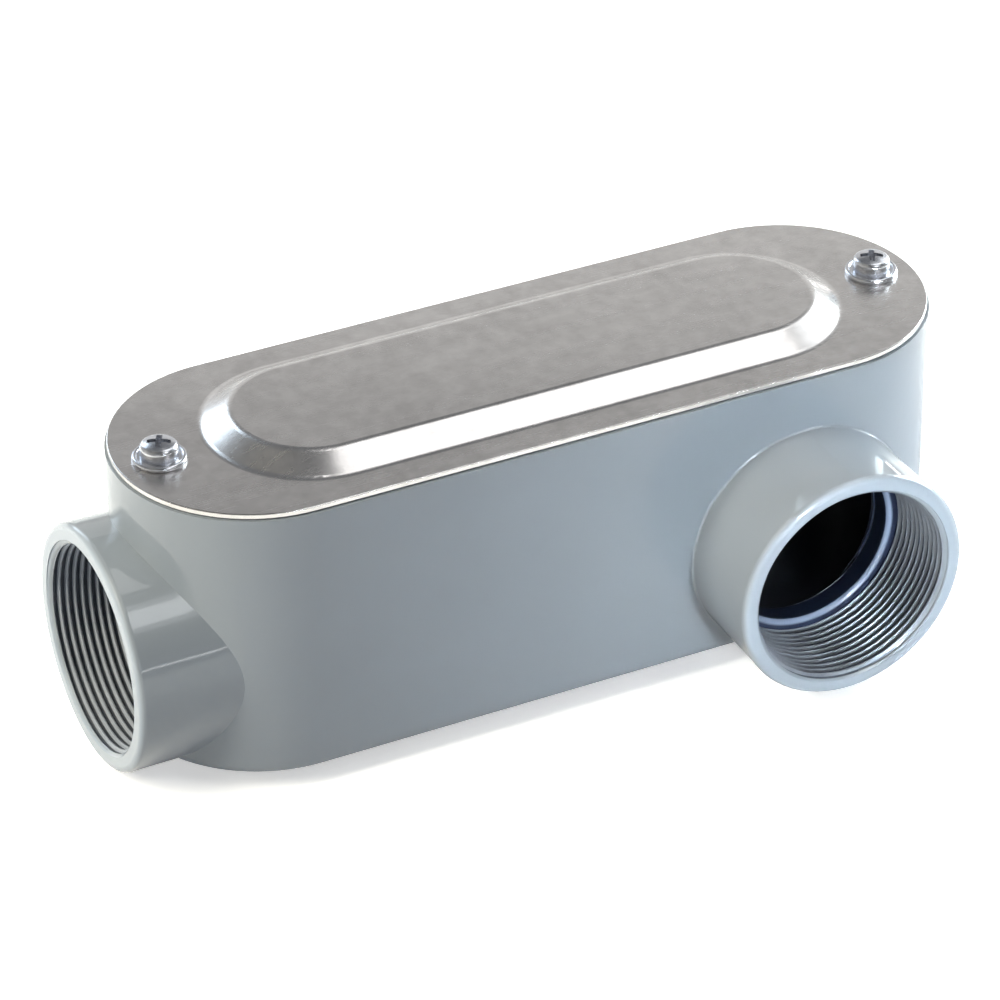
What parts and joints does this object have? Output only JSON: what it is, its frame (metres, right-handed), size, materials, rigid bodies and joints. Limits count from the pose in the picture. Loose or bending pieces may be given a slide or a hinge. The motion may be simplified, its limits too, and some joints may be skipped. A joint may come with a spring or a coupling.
{
  "type": "conduit body",
  "caption": "Long rounded conduit body with a threaded hub on its end and another on its right side, closed by a screwed-on cover with a raised panel.",
  "frame": {"origin": "centre of the body's flat back, between its two rounded ends", "axes": "+X along the body away from the end hub, +Y away from the side hub, +Z from the back to the cover"},
  "size_m": [0.2508, 0.1082, 0.0941],
  "materials": {
    "grey_enamel": "glossy light grey enamel over cast aluminium",
    "cover_sheet": "satin, faintly brushed sheet",
    "gasket": "matt grey sheet",
    "screw_plate": "bright plated steel"
  },
  "bodies": {
    "root": {"cast_body": "grey_enamel", "cover": "cover_sheet", "cover_gasket": "gasket", "cover_screw_near": "screw_plate", "cover_screw_far": "screw_plate"}
  },
  "joints": []
}
